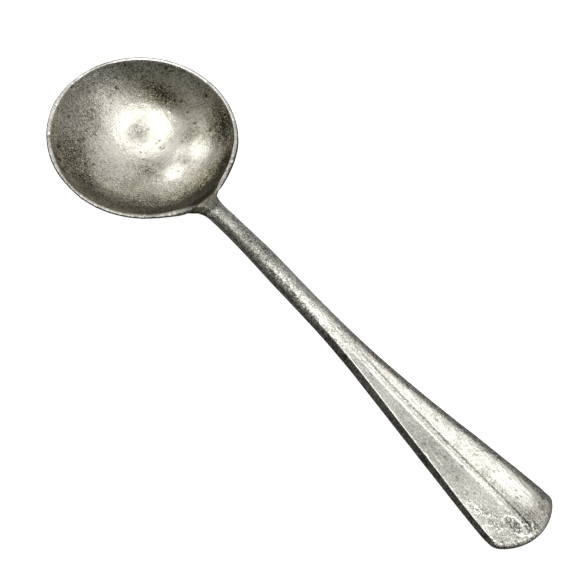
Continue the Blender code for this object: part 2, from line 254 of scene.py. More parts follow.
def bowl_pits(x, y):
    deep, dark = np.zeros_like(x), np.zeros_like(x)
    rng = np.random.default_rng(411)
    some = [(r * math.cos(a), r * math.sin(a), s, s * 0.13) for r, a, s in zip(
        28.0 * np.sqrt(rng.random(70)), 2 * math.pi * rng.random(70),
        0.20 + 0.18 * rng.random(70) ** 2)]
    for cx, cy, size, depth in BOWL_PITS + some:
        near = np.abs(x - cx) + np.abs(y - cy) < 4 * size
        b = np.exp(-((x[near] - cx) ** 2 + (y[near] - cy) ** 2) / size ** 2)
        deep[near] += depth * b
        dark[near] = np.maximum(dark[near], b * min(1.0, depth / 0.07))
    for cx, cy, long, short, ang, strong in BOWL_FLECKS:
        b = blob(x, y, cx, cy, long, short, ang)
        deep += 0.05 * strong * b
        dark = np.maximum(dark, strong * np.minimum(1.0, 1.3 * b))
    return deep, dark


def rim_wobble(turn):
    """Uneven height of the rim and its nicks."""
    ring = np.stack([30 * np.cos(turn), 30 * np.sin(turn), 0 * turn], 1)
    high = 0.09 * waves(ring, 21.0, 5) + 0.03 * waves(ring, 4.0, 6)
    wide = 0.10 * waves(ring, 26.0, 7) + 0.03 * waves(ring, 5.0, 8)
    for at, half, depth in RIM_NICKS:
        off = np.angle(np.exp(1j * (turn - math.radians(at)))) * RIM_R
        high = high - depth * np.exp(-(off / half) ** 2)
    return high, wide


def root_at(deg):
    """1 where the handle meets the rim."""
    return np.exp(-((deg + 1.0) / 9.5) ** 4)


def build_bowl():
    n, rows = 184, 13
    ux, uy, quads, edge = disk(n)
    rho, turn = np.hypot(ux, uy), np.arctan2(uy, ux)
    cx, sx = np.cos(turn), np.sin(turn)
    t_in = arc_at_height(-WALL, -0.34)
    t_out = arc_at_height(0.0, -0.30)
    high, wide = rim_wobble(turn)
    rim = rho ** 10

    def sheet(t, offset):
        r, z = profile(t, offset)
        r2, z2 = profile(t, offset + 0.01)
        nr, nz = (r2 - r) / 0.01, (z2 - z) / 0.01
        flat = np.stack([r * cx, r * sx, z], 1)
        push = (0.10 * waves(flat, 15.0, 1) + 0.065 * waves(flat, 7.0, 2, 1)
                + 0.030 * waves(flat, 3.2, 3, 1) + 0.010 * waves(flat, 1.6, 4, 1))
        for dx, dy, rx, ry, a, d in DENTS:
            push = push + d * blob(flat[:, 0], flat[:, 1], dx, dy, rx, ry, a)
        push = push * (1 - 0.85 * rho ** 6)
        return flat, np.stack([-nr * cx, -nr * sx, -nz], 1), push

    inner, inn, push_in = sheet(rho * t_in, -WALL)
    outer, outn, push_out = sheet(rho * t_out, 0.0)
    deep, pit_in = bowl_pits(inner[:, 0], inner[:, 1])
    rng_pits, pit_out = bowl_pits(-outer[:, 0] * 0.97, outer[:, 1] * 0.97 + 1.0)
    inner = inner + inn * (push_in - deep)[:, None]
    outer = outer + outn * (push_out + rng_pits * 0.8)[:, None]
    inner[:, 2] += rim * high
    outer[:, 2] += rim * high
    inner[:, 0] += rim * wide * cx
    inner[:, 1] += rim * wide * sx
    # the lip is left thicker than the sheet, and is drawn out and dips where the handle meets it
    at_deg = np.degrees(turn)
    thicken, draw = along(LIP_IN, at_deg), along(LIP_DRAW, at_deg)
    for sheet_points, by in ((inner, -thicken * step(0.91, 1.0, rho)),
                             (outer, LIP_OUT * step(0.95, 1.0, rho) + draw * step(0.87, 1.0, rho))):
        sheet_points[:, 0] += by * cx
        sheet_points[:, 1] += by * sx
        sheet_points[:, 2] -= ROOT_DIP * root_at(at_deg) * step(0.93, 1.0, rho)
    # crown of the rim, from the inner sheet's edge over to the outer sheet's edge
    a, b = inner[edge], outer[edge]
    ring_turn = turn[edge]
    root = root_at(np.degrees(ring_turn))
    lips = []
    for i in range(1, rows):
        q = math.pi * i / rows
        s = 0.5 - 0.5 * math.copysign(abs(math.cos(q)) ** 0.8, math.cos(q))
        up = abs(math.sin(q)) ** 0.75 * LIP_HIGH
        p = a + (b - a) * s
        p[:, 2] += up * (1 - 0.85 * root)
        lips.append(p)
    count, ring = len(inner), len(edge)
    points = np.concatenate([inner, outer] + lips)
    faces = [tuple(f) for f in quads] + [tuple(f[::-1]) for f in quads + count]
    chain = [edge] + [2 * count + ring * i + np.arange(ring) for i in range(rows - 1)]
    chain.append(count + edge)
    for lo, hi in zip(chain, chain[1:]):
        nxt_lo, nxt_hi = np.roll(lo, -1), np.roll(hi, -1)
        faces += [tuple(f) for f in np.stack([lo, hi, nxt_hi, nxt_lo], 1)]
    # tarnish and wear, with painted shade on the steep walls and painted highlights round the lamps' reflections
    x, y = inner[:, 0], inner[:, 1]
    r = np.hypot(x, y)
    # the steep wall near the rim is darker, more so towards the handle: partly patina, partly painted shade for the
    # dark it reflects
    dull_and_shade = 0.30 * step(20.0, 28.5, r) * (0.5 + 0.5 * step(-18.0, 6.0, x))
    for px, py, rx, ry, ang, s in BOWL_PATINA_AND_PAINTED_LIGHT:
        dull_and_shade = dull_and_shade + s * blob(x, y, px, py, rx, ry, ang)
    dull_and_shade = dull_and_shade + 0.07 * waves(inner, 6.5, 17)
    dull_and_shade = dull_and_shade + 0.20 * np.exp(-((at_deg - 128.0) / 9.0) ** 4) * step(27.2, 28.4, r)
    # a dark band just inside the lip, from the handle round to about 40 degrees: painted shade in the crease under the
    # lip, with dirt there too
    dull_and_shade = dull_and_shade + 0.50 * step(24.5, 26.5, r) * np.exp(-((at_deg - 20.0) / 22.0) ** 4)
    out_r = np.hypot(outer[:, 0], outer[:, 1])
    out_dull = 0.26 + 0.22 * waves(outer, 16.0, 12) - 0.20 * blob(outer[:, 0], outer[:, 1], -2, 0, 8, 8)
    out_dull = out_dull + 0.08 * step(18, 26, out_r) + 0.06 * step(26.5, 29.5, out_r)
    deg = np.degrees(ring_turn)
    rough_side = 0.25 + 0.75 * (1 - step(40.0, 75.0, deg) * (1 - step(150.0, 178.0, deg)))
    tone, from_here, dark = along(LIP_TONE, deg), along(LIP_EDGE, deg), along(LIP_EDGE_SHADE, deg)
    lip_dull_and_shade, lip_wear = [], []
    for i in range(1, rows):
        share = i / rows
        patchy = 0.20 * waves(lips[i - 1], 7.0, 14) + 0.15 * waves(lips[i - 1], 2.0, 15)
        inside = 0.20 * (1 - step(0.0, 0.5, share)) * step(-105.0, -85.0, deg) * (1 - step(-14.0, -8.0, deg))
        # the crown's tarnish, with painted shade on its outer edge past from_here
        lip_dull_and_shade.append(tone + inside + patchy * rough_side + dark * step(0.0, 0.12, share - from_here) + (0.36 + 0.12 * waves(lips[i - 1], 1.7, 16)) * root)
        lip_wear.append(0.45 * (1 - step(-0.10, 0.06, share - from_here)) * (1 - root))
    sheet_root = root_at(at_deg) * step(0.95, 1.0, rho)
    tarnish_and_shade = np.concatenate([dull_and_shade + 0.35 * sheet_root, out_dull + 0.25 * step(0.97, 1.0, rho)] + lip_dull_and_shade)
    pits = np.concatenate([pit_in, pit_out] + [np.zeros(ring) for _ in lips])
    edge_wear = np.concatenate([step(0.985, 1.0, rho) * 0.35 * (1 - sheet_root), 0 * rho] + lip_wear)
    world = to_table(points)
    world[:, 2] = np.maximum(world[:, 2], 0.0)
    grain = (0.32 + 0.80 * step(0.05, 0.60, dull_and_shade) + 0.55 * step(2.0, -14.0, x)
             + 0.45 * blob(x, y, -3, -13, 10, 6) - 1.0 * blob(x, y, -8.5, 5, 9.2, 9.2) + 0.08 * blob(x, y, -9.5, 5, 4.6, 4.0)
             + 0.30 * blob(x, y, 16, -14, 8, 5) + 0.25 * blob(x, y, 12, 21, 8, 5, -30) + 0.55 * blob(x, y, 20.5, 1, 6, 9) + 0.40 * blob(x, y, 0, -5, 7, 6) - 0.50 * blob(x, y, -11, 19.5, 8, 4.0, 30)
             + 0.40 * blob(x, y, -4, 24.5, 5, 3)
             - 0.50 * step(-14.0, -22.0, y) * step(-6.0, 6.0, x))
    grain = np.maximum(grain, 0.15) * (1 - 0.7 * root_at(at_deg) * step(0.93, 1.0, rho))
    grain = np.concatenate([grain, np.full(count, 0.42)] + [0.65 - 0.30 * root for _ in lips])
    greyer = (0.22 + 0.60 * step(-172.0, -150.0, at_deg) * (1 - step(-122.0, -104.0, at_deg))) * step(0.70, 0.92, rho) * (1 - step(-70.0, -35.0, at_deg) * (1 - step(140.0, 170.0, at_deg)))
    greyer = np.maximum(greyer, 0.95 * step(0.26, 0.44, rho) * (1 - step(0.66, 0.80, rho)) * step(-115.0, -85.0, at_deg) * (1 - step(0.0, 30.0, at_deg)))
    greyer = np.maximum(greyer, 0.40 * blob(x, y, 4.0, 16.0, 6.0, 4.0))
    greyer = greyer + 0.95 * blob(x, y, -9.0, 5.0, 6.5, 6.0) + 0.30 * blob(x, y, 7.5, 9.0, 5.0, 6.0)
    greyer = greyer - 0.30 * blob(x, y, -4.0, -6.5, 8.0, 6.0) - 1.25 * blob(x, y, 25.5, 2.0, 5.0, 11.0)
    lip = step(0.97, 1.0, rho) * (1 - 0.8 * root_at(at_deg))
    near_lip = step(-110.0, -90.0, deg) * (1 - step(-20.0, 0.0, deg))
    olive = 0.85 * step(0.35, 0.60, rho) * step(45.0, 75.0, at_deg) * (1 - step(150.0, 172.0, at_deg)) * (1 - lip)
    bright = np.concatenate([greyer * (1 - lip) + lip - olive, lip]
                            + [1 - 1.05 * root - 0.3 * near_lip * (1 - root) for _ in lips])
    # fine rubbing marks that run round the bowl
    rubbed = (0.15 + 0.85 * blob(x, y, 20.0, -1.0, 7.0, 12.0) + 0.70 * blob(x, y, 7.0, 21.0, 9.0, 5.0, -20)
              + 0.40 * blob(x, y, 4.0, -20.0, 12.0, 5.0)) * (1 - step(0.93, 1.0, rho))
    rubbed = np.concatenate([rubbed, 0 * rho + 0.35] + [np.zeros(ring) for _ in lips])
    return make_piece("bowl_shell", world, faces,
                      {"tarnish_and_shade": tarnish_and_shade, "pits": pits, "wear_and_sheen": edge_wear, "scuff": 0 * tarnish_and_shade,
                       "grain": grain, "grey": bright, "rubbed": rubbed})


# tarnish inside the bowl, with painted shade on the walls and painted highlights where the strength is below 0: place,
# half sizes, turn, strength
BOWL_PATINA_AND_PAINTED_LIGHT = [(26.0, 0.0, 5.0, 11.0, 0, 1.0),        # painted shade on the wall under the handle's root
               (21.0, -13.0, 5.0, 8.0, -55, 0.6),     # painted shade on the lower wall, from the root round to the left
               (11.0, -18.5, 9.0, 4.5, 32, 0.5),
               (-2.0, -21.5, 9.0, 4.0, -5, 0.6),
               (-13.0, -18.0, 6.0, 4.0, -35, 0.3),
               (-18.5, -7.0, 4.0, 6.0, 20, 0.3),      # painted shade on the left wall
               (-12.0, 18.0, 8.0, 2.6, 24, 0.8),      # smoky band on the far side
               (11.5, 23.5, 7.0, 3.0, -28, 0.5),      # painted shade on the far wall
               (21.5, 13.0, 3.5, 5.0, -10, 0.3),      # painted shade on the right wall
               (-9.5, 5.2, 5.6, 4.8, 35, 0.5),        # dull spot in the middle
               (4.5, -0.5, 4.5, 3.5, 30, 0.4),        # painted shade between the lamps' reflections on the floor of the bowl
               (14.0, -9.0, 8.0, 3.2, 25, 0.2),
               (4.0, 15.5, 2.8, 3.5, 0, 0.3),
               (10.0, 9.0, 2.5, 2.5, 0, 0.2),
               (-6.0, 14.5, 4.5, 2.5, 20, -0.6),      # painted highlights: places lightened round the lamps' reflections
               (-15.5, 3.0, 5.0, 7.0, 0, -0.25),
               (10.5, 3.5, 3.0, 2.6, 0, -0.2),
               (10.5, 14.5, 3.0, 3.0, 0, -0.1),
               (-4.0, 23.5, 5.0, 3.0, 15, -0.2),
               (-6.0, -8.0, 7.0, 3.5, 0, -0.2)]


# ---- handle -----------------------------------------------------------------
def tip_outline(x, corner_r):
    """Half width of the plan outline from the stem to the tip."""
    wide = float(along(HALF_WIDTH, POLE_X))
    end = TIP_X - TIP_ARC
    cy = wide - corner_r
    cx = end + math.sqrt((TIP_ARC - corner_r) ** 2 - cy * cy)
    join = end + TIP_ARC * math.cos(math.atan2(cy, cx - end))
    w = np.minimum(along(HALF_WIDTH, x), wide)
    corner = cy + np.sqrt(np.clip(corner_r ** 2 - (x - cx) ** 2, 0, None))
    arc = np.sqrt(np.clip(TIP_ARC ** 2 - (x - end) ** 2, 0, None))
    return np.where(x >= join, arc, np.where(x >= cx, corner, w))


def half_width(x, side=1):
    """Half width on one side (-1 left, 1 right). At the foot x is the distance from the
    bowl's axis, and the outline is a fillet that runs out along the rim."""
    stem = float(along(HALF_WIDTH, 36.0))
    fillet = FILLET[-1 if side < 0 else 1]
    far = RIM_R + fillet
    sin_c = (stem + fillet) / far
    cos_c = math.sqrt(1 - sin_c ** 2)
    rho = np.maximum(x, RIM_R)
    a = (rho ** 2 - fillet ** 2 + far ** 2) / (2 * far)
    foot = sin_c * a - cos_c * np.sqrt(np.clip(rho ** 2 - a ** 2, 0, None))
    last = math.hypot(far * cos_c, stem)
    wide = np.where(x >= last, tip_outline(x, CORNER_LEFT if side < 0 else CORNER_RIGHT), foot)
    return wide + along(TRIM[-1 if side < 0 else 1], x)


def seat(p):
    """Lays the first stretch of the handle round the bowl: there a station keeps one
    distance from the bowl wall, further on it is a plain cross section."""
    t = np.linspace(0.2, ARC, 500)
    pr, pz = profile(t, 0.0)
    wall = np.interp(np.minimum(p[:, 2], 0.0), pz, pr)
    deg = np.degrees(np.arcsin(np.clip(p[:, 1] / np.maximum(p[:, 0], 1.0), -1, 1)))
    wall = wall + along(LIP_DRAW, deg) * step(-3.8, -0.3, p[:, 2])
    near = np.sqrt(np.clip((wall + p[:, 0] - RIM_R) ** 2 - p[:, 1] ** 2, 0, None))
    g = 1 - step(32.0, 43.0, p[:, 0])
    out = p.copy()
    out[:, 0] = g * near + (1 - g) * p[:, 0]
    return out


def levels(x):
    """Middle height and half thickness."""
    mid, half = along(SPINE, x), along(HALF_THICK, x)
    top, bottom = mid + half, mid - half
    w = 1.0 - step(29.5, 39.0, x)
    top = top + (FOOT_TOP - top) * w
    v = 1.0 - step(27.0, 37.0, x)
    bottom = bottom + (FOOT_BOTTOM - bottom) * v
    return (top + bottom) / 2, (top - bottom) / 2


def stations():
    xs = [29.5, 29.75] + list(np.arange(30.0, 32.0, 0.1)) + list(np.arange(32.0, 40.0, 0.26))
    xs += list(np.arange(40.0, 158.0, 0.31))
    xs += list(np.arange(158.0, 164.5, 0.2))
    end = TIP_X - TIP_ARC
    first = math.acos((164.6 - end) / TIP_ARC)
    xs += [end + TIP_ARC * math.cos(a) for a in np.linspace(first, 0.02, 46)]
    return np.array(xs)


ACROSS = 80


def rows_across(x, w, blade):
    """Places of the lengthwise rows, as shares of the half width, from -1 to 1."""
    stem = np.sin(np.linspace(-math.pi / 2, math.pi / 2, ACROSS))
    el, er = min(float(along(BEVEL, x)), 0.4 * w), min(EDGE_RIGHT[0], 0.45 * w)
    rib = min(1.7, 0.3 * w)
    left = -w + el * np.array([0, 0.1, 0.25, 0.45, 0.65, 0.8, 0.9, 0.97, 1.04, 1.13, 1.3])
    right = w - er * (1 - np.sin(np.linspace(0, math.pi / 2, 15)))
    a = np.linspace(-w + 1.3 * el, -rib, 20)[1:]
    b = np.linspace(-rib, rib, 18)[1:]
    c = np.linspace(rib, w - er, 19)[1:]
    flat = np.concatenate([left, a, b, c, right[1:]]) / w
    flat = np.interp(np.linspace(0, 1, ACROSS), np.linspace(0, 1, len(flat)), flat)
    q = stem + (flat - stem) * blade
    q[0], q[-1] = -1.0, 1.0
    return q


def rounding(d, across, down):
    """Drop of a rounded edge at distance d from the outline."""
    u = np.clip(1 - d / across, 0.0, 1.0)
    return down * (1 - np.sqrt(np.clip(1 - u ** 2.2, 0, 1)))


def bevel(d, across, down):
    """Drop of a leaning flat side that starts at a crisp edge."""
    u = np.clip(1 - d / across, 0.0, 1.0)
    return down * u * (0.8 + 0.2 * u)


# pits and dents of the handle's top: x, y, half length, half width, turn, depth
TOP_MARKS = [(165.4, 0.4, 0.5, 0.4, 0, 0.14), (166.4, -0.4, 0.45, 0.4, 0, 0.12),
             (166.9, 1.1, 0.45, 0.4, 0, 0.12), (165.6, -4.4, 0.5, 0.35, 0, 0.08),
             (164.2, 0.75, 0.8, 0.35, 0, 0.20), (132.3, -7.6, 0.7, 0.6, 0, 0.45),
             (149.0, 5.6, 0.4, 0.28, 0, 0.07), (156.0, 5.2, 0.35, 0.28, 0, 0.07),
             (157.5, 3.9, 0.35, 0.28, 0, 0.07), (152.5, 6.6, 0.6, 0.22, 0, 0.07),
             (95.8, -3.6, 0.5, 0.4, 0, 0.16), (104.5, -1.3, 0.5, 0.3, 0, 0.07),
             (88.0, 1.2, 0.4, 0.3, 0, 0.06), (118.5, 0.5, 0.6, 0.25, 0, 0.06),
             (127.0, 3.4, 0.7, 0.25, 0, 0.05), (71.6, -2.0, 0.6, 0.4, 0, 0.10),
             (62.0, -2.2, 0.7, 0.4, 0, 0.08)]
# raised burrs
TOP_BURRS = [(166.9, 0.4, 0.45, 0.35, 0, 0.08), (165.7, 1.3, 0.35, 0.45, 0, 0.08),
             (167.2, -1.6, 0.45, 0.6, 0, 0.08), (132.7, -6.9, 0.7, 0.35, 0, 0.12),
             (165.9, -0.5, 0.3, 0.7, 15, 0.08)]
# tarnish on the crest of the stem
STEM_DULL = [(32.0, 0.22), (42.0, 0.28), (48.0, 0.42), (54.0, 0.43), (60.0, 0.36), (66.0, 0.20),
             (74.0, 0.14), (84.0, 0.02), (100.0, 0.0)]
# where the painted shade on the left side of the stem starts, as a share of the half width
STEM_SHADE_EDGE = [(36.0, 0.26), (42.0, 0.32), (48.0, 0.41), (56.0, 0.36), (62.0, 0.28), (68.0, 0.28), (74.0, 0.30), (84.0, 0.32)]
# flaked places: x, y, half length, half width, turn, depth
FLAKES = [(162.3, -2.7, 3.3, 1.55, 4, 0.13), (160.2, -3.0, 1.3, 1.0, 20, 0.10),
          (165.3, -1.4, 1.4, 1.2, -30, 0.08)]
# scuffed places: x, y, half length, half width, turn
SCUFFS = [(152.8, -6.9, 3.2, 1.5, 18), (156.5, -5.0, 2.0, 0.9, 35), (166.0, 0.6, 1.6, 1.8, 0),
          (159.0, -7.0, 2.4, 1.2, 25)]


def build_handle():
    xs = stations()
    end = TIP_X - TIP_ARC
    # plan outline near the tip, for the distance of a point to the edge
    ox = np.concatenate([np.linspace(140, 164.6, 500),
                         end + TIP_ARC * np.cos(np.linspace(math.acos(10.6 / TIP_ARC), 0, 260))])
    oy = {-1: half_width(ox, -1), 1: half_width(ox, 1)}
    shares = {-1: step(158.8, 164.0, ox), 1: step(160.5, 166.5, ox)}   # 1 at the end
    tops, bottoms, tags = [], [], []
    for x in xs:
        mid, half = (float(v) for v in levels(x))
        blade = float(step(BLADE_START, BLADE_FULL, x))
        q = rows_across(x, float(half_width(min(x, POLE_X))), blade)
        w = np.where(q < 0, float(half_width(x, -1)), float(half_width(x, 1)))
        y = q * w
        if x < 141.0:
            d = w - np.abs(y)
            end_share = np.zeros_like(y)
        else:
            d, end_share = np.zeros_like(y), np.zeros_like(y)
            for sign in (-1, 1):
                on = (y < 0) == (sign < 0)
                gap = np.hypot(ox[None, :] - x, oy[sign][None, :] - np.abs(y[on])[:, None])
                end_share[on] = shares[sign][gap.argmin(1)]
                d[on] = gap.min(1)
        d[0] = d[-1] = 0.0
        thin = half / 2.0
        # round stem
        lift = np.sqrt(np.clip(1 - (y / w) ** 2, 0, 1))
        stem = 0.15 + (half - 0.15) * lift
        # flat end: hollows, rib, rounded edges
        lean = float(along(BEVEL, x))
        inner = np.maximum(np.where(y < 0, w - lean, w - 1.9), 0.6)
        s = np.clip(np.abs(y) / inner, 0, 1)
        hollow = 1 - np.where(y < 0, s ** 1.12, s ** 1.25)
        fade = 1 - 0.75 * float(step(152.0, 167.5, x))
        rib = (float(step(RIB_START, RIB_FULL, x)) * float(1 - step(RIB_END - 2.2, RIB_END + 0.3, x)))
        ridge = RIB_HIGH * rib * np.exp(-(y / RIB_WIDE) ** 4)
        long_edge = np.where(y < 0, bevel(d, lean, BEVEL_DOWN * half),
                             rounding(d, EDGE_RIGHT[0], EDGE_RIGHT[1] * thin))
        edge = (1 - end_share) * long_edge + end_share * rounding(d, EDGE_TIP[0], EDGE_TIP[1] * thin)
        flat = half - FLUTE * fade * hollow * np.minimum(1.0, w / 8.0) - edge
        top = stem + (flat - stem) * blade + ridge
        eu = np.where(y < 0, EDGE_UNDER[-1][0], EDGE_UNDER[1][0])
        du = np.where(y < 0, EDGE_UNDER[-1][1], EDGE_UNDER[1][1]) * (1 - end_share) + end_share * 1.9
        under = half - rounding(d, eu, du * thin) - 0.12 * np.clip(np.abs(y) / w, 0, 1) ** 2
        low = stem + (under - stem) * blade
        tops.append(np.stack([np.full_like(y, x), y, mid + top], 1))
        bottoms.append(np.stack([np.full_like(y, x), y, mid - low], 1))
        tags.append(np.stack([np.full_like(y, blade), d, end_share, ridge / RIB_HIGH,
                              y / w, w], 1))
    n = len(xs)
    top = np.concatenate(tops)
    low = np.concatenate(bottoms)
    tag = np.concatenate(tags)
    blade, d, end_share, ridge, q, w = tag.T
    x, y = top[:, 0], top[:, 1]

    # hand-worked unevenness and marks
    keep = step(0.0, 0.9, d)
    up = 0.035 * waves(top, 9.0, 21) + 0.016 * waves(top * np.array([0.5, 1, 1]), 2.6, 22)
    pit = np.zeros_like(x)
    for mx, my, rx, ry, a, dep in TOP_MARKS:
        near = (np.abs(x - mx) < 9) & (np.abs(y - my) < 9)
        b = np.zeros_like(x)
        c, s = math.cos(math.radians(a)), math.sin(math.radians(a))
        u = ((x[near] - mx) * c + (y[near] - my) * s) / rx
        v = (-(x[near] - mx) * s + (y[near] - my) * c) / ry
        rr = u * u + v * v
        b[near] = np.exp(-rr)
        up = up - dep * b
        pit = np.maximum(pit, b * min(1.0, dep / 0.12))
    burr = np.zeros_like(x)
    for mx, my, rx, ry, a, high in TOP_BURRS:
        b = blob(x, y, mx, my, rx, ry, a)
        up = up + high * b
        burr = np.maximum(burr, b)
    crumble = waves(top, 1.5, 41) + 0.6 * waves(top, 0.7, 42, 1)
    flake = np.zeros_like(x)
    for mx, my, rx, ry, a, dep in FLAKES:
        c, s = math.cos(math.radians(a)), math.sin(math.radians(a))
        u = ((x - mx) * c + (y - my) * s) / rx
        v = (-(x - mx) * s + (y - my) * c) / ry
        m = (np.abs(u) ** 2.6 + np.abs(v) ** 2.6) ** (1 / 2.6) + 0.26 * crumble
        inside = 1 - step(0.82, 1.0, m)
        lip = np.exp(-((m - 1.05) / 0.11) ** 2)
        up = up - dep * inside + 0.06 * lip
        burr = np.maximum(burr, lip)
        flake = np.maximum(flake, inside)
    scuff = np.zeros_like(x)
    for mx, my, rx, ry, a in SCUFFS:
        scuff = np.maximum(scuff, blob(x, y, mx, my, rx, ry, a))
    chips = waves(top, 0.9, 43, 1) + 0.5 * crumble
    scuff = np.minimum(1.0, 1.5 * scuff)
    up = up + 0.07 * scuff * chips
    burr = np.maximum(burr, 0.4 * scuff * step(0.05, 0.30, chips))
    rng = np.random.default_rng(77)
    for _ in range(45):
        mx = 42 + 124 * rng.random()
        my = (2 * rng.random() - 1) * 0.85 * float(half_width(mx))
        size, dep = 0.16 + 0.14 * rng.random() ** 2, 0.02 + 0.03 * rng.random()
        near = (np.abs(x - mx) < 3) & (np.abs(y - my) < 3)
        b = np.exp(-(((x[near] - mx) / (1.5 * size)) ** 2 + ((y[near] - my) / size) ** 2))
        up[near] -= dep * b
        pit[near] = np.maximum(pit[near], b * 0.6)
    top[:, 2] += up * np.maximum(keep, 0.25)
    low[:, 2] += (0.05 * waves(low, 11.0, 24) + 0.02 * waves(low, 3.5, 25)) * keep
    # uneven outline
    side = 0.10 * waves(np.stack([x, np.sign(y) * 9, 0 * x], 1), 13.0, 26) * np.abs(q) ** 3
    for sheet in (top, low):
        sheet[:, 1] += np.sign(y) * side
        lean = 0.065 * y * step(146.0, 166.0, x)
        sheet[:, 0] += lean

    # walls between the two sheets
    wall_rows = 5
    grid_top = np.arange(n * ACROSS).reshape(n, ACROSS)
    grid_low = grid_top + n * ACROSS
    pts = [top, low]
    faces = []
    count = 2 * n * ACROSS

    def strip(a, b):
        """Quads between two rows of points."""
        faces.extend([tuple(f) for f in np.stack([a[:-1], a[1:], b[1:], b[:-1]], 1)])

    for i in range(n - 1):
        faces.extend([tuple(f) for f in np.stack(
            [grid_top[i, :-1], grid_top[i + 1, :-1], grid_top[i + 1, 1:], grid_top[i, 1:]], 1)])
        faces.extend([tuple(f) for f in np.stack(
            [grid_low[i, :-1], grid_low[i, 1:], grid_low[i + 1, 1:], grid_low[i + 1, :-1]], 1)])
    side_cols = {}
    for col, flip in ((0, True), (ACROSS - 1, False)):
        a, b = top[grid_top[:, col]], low[grid_low[:, col] - n * ACROSS]
        cols = [grid_top[:, col]]
        for k in range(1, wall_rows):
            t = k / wall_rows
            p = a + (b - a) * t
            bulge = 0.10 * math.sin(math.pi * t) * step(40, 60, p[:, 0])
            p[:, 1] += np.sign(a[:, 1]) * bulge
            p[:, 1] += np.sign(a[:, 1]) * 0.03 * waves(p, 3.0, 27)
            pts.append(p)
            cols.append(count + np.arange(n))
            count += n
        cols.append(grid_low[:, col])
        side_cols[col] = cols
        for a, b in zip(cols, cols[1:]):
            strip(b, a) if flip else strip(a, b)
    points = np.concatenate(pts)

    points = seat(points)

    # close both ends
    def close(row, flip):
        left = [c[row] for c in side_cols[0]][1:-1]
        right = [c[row] for c in side_cols[ACROSS - 1]][1:-1]
        a, b = grid_top[row], grid_low[row]
        prev = a
        nonlocal points, count
        for k in range(1, wall_rows):
            f = k / wall_rows
            mids = points[a[1:-1]] + (points[b[1:-1]] - points[a[1:-1]]) * f
            if row == 0:
                mids[:, 0] = xs[0]
                mids = seat(mids)
            cur = np.concatenate([[left[k - 1]], count + np.arange(len(mids)), [right[k - 1]]])
            points = np.concatenate([points, mids])
            count += len(mids)
            strip(prev, cur) if flip else strip(cur, prev)
            prev = cur
        strip(prev, b) if flip else strip(b, prev)

    close(0, True)
    close(n - 1, False)

    # tarnish and wear
    total = len(points)
    dull_and_shade = np.full(total, 0.75)
    wear_and_sheen = np.zeros(total)
    pits = np.zeros(total)
    rubbed = np.zeros(total)
    m = n * ACROSS
    rubbed[:m] = scuff
    stem = 1 - blade
    # painted shade on the stem's sides, darkest on the left
    side_shade = (step(0.0, 0.32, -q - along(STEM_SHADE_EDGE, x)) * 0.50 + step(0.35, 0.9, q) * 0.17
             + 0.10 * np.exp(-((q - 0.42) / 0.25) ** 2))
    crest = np.exp(-((q + 0.04) / 0.56) ** 4)
    stem_dull_and_shade = (side_shade + (0.38 + 0.10 * waves(top, 1.5, 34)) * (1 - step(32.6, 34.8, x + 0.9 * waves(top, 1.6, 31)))
                 + along(STEM_DULL, x) * crest)
    lean = along(BEVEL, x)
    # painted shade on the left bevel and the rounded right edge, and a painted shadow line beside the rib
    flat_dull_and_shade = (0.10 + 0.03 * (q > 0) + (0.49 - 0.10 * np.exp(-((x - 108.0) / 14.0) ** 2)) * (1 - step(0.8, 1.02, d / lean)) * (q < 0) * (1 - 0.5 * end_share)
                 + 0.30 * step(0.0, 0.45, 1 - d / 3.0) * (q > 0) * (1 - 0.75 * end_share)
                 + 0.18 * np.exp(-((y - 0.60) / 0.32) ** 2) * step(97, 108, x) * (1 - step(163.5, 165, x))
                 + 0.08 * np.exp(-((y - 0.65) / 0.35) ** 2) * step(155, 159, x) * (1 - step(164.0, 165.2, x))
                 + 0.22 * step(143.0, 153.0, x) * (1 - step(160.0, 166.0, x)) * np.exp(-((y - 1.9) / 1.2) ** 2)
                 + 0.12 * blob(x, y, 164.5, 7.0, 3.4, 3.2) + 0.20 * blob(x, y, 165.0, 3.0, 3.0, 3.4)
                 + 0.10 * step(146.0, 156.0, x) * np.exp(-((y + 0.6) / 0.9) ** 2)
                 + 0.14 * step(157.0, 163.0, x)
                 + 0.09 * blob(x, y, 135.0, -4.4, 10.0, 2.4) + 0.06 * blob(x, y, 156.5, -7.5, 4.0, 3.0)
                 - 0.04 * blob(x, y, 156.0, 6.0, 8.0, 3.0)
                 + 0.05 * blob(x, y, 141.0, 6.0, 9.0, 3.0) - 0.10 * blob(x, y, 109.0, -4.0, 6.0, 3.0))
    dull_and_shade[:m] = stem_dull_and_shade * stem + flat_dull_and_shade * blade - 0.25 * burr + 0.22 * flake
    # underside, with painted shade towards both edges
    dull_and_shade[m:2 * m] = 0.36 + 0.18 * waves(low, 14.0, 33) + 0.40 * step(0.60, 0.95, -q) + 0.20 * step(0.70, 0.97, q)
    worn = 0.6 + 0.6 * waves(top, 3.0, 45)
    # worn bright along the left arris, partly a painted highlight, and a painted highlight along the lit left side of
    # the rib
    wear_and_sheen[:m] = np.clip(0.8 * np.exp(-((d - lean - 0.12) / 0.28) ** 2) * (q < 0) * blade * worn
                       * (1 - 0.6 * step(150, 160, x)) + 0.8 * burr
                       + 0.5 * np.exp(-((y + 1.0) / 0.35) ** 2) * step(95, 107, x) * (1 - step(138, 154, x)) * worn, 0, 1)
    pits[:m] = pit
    first = 2 * m
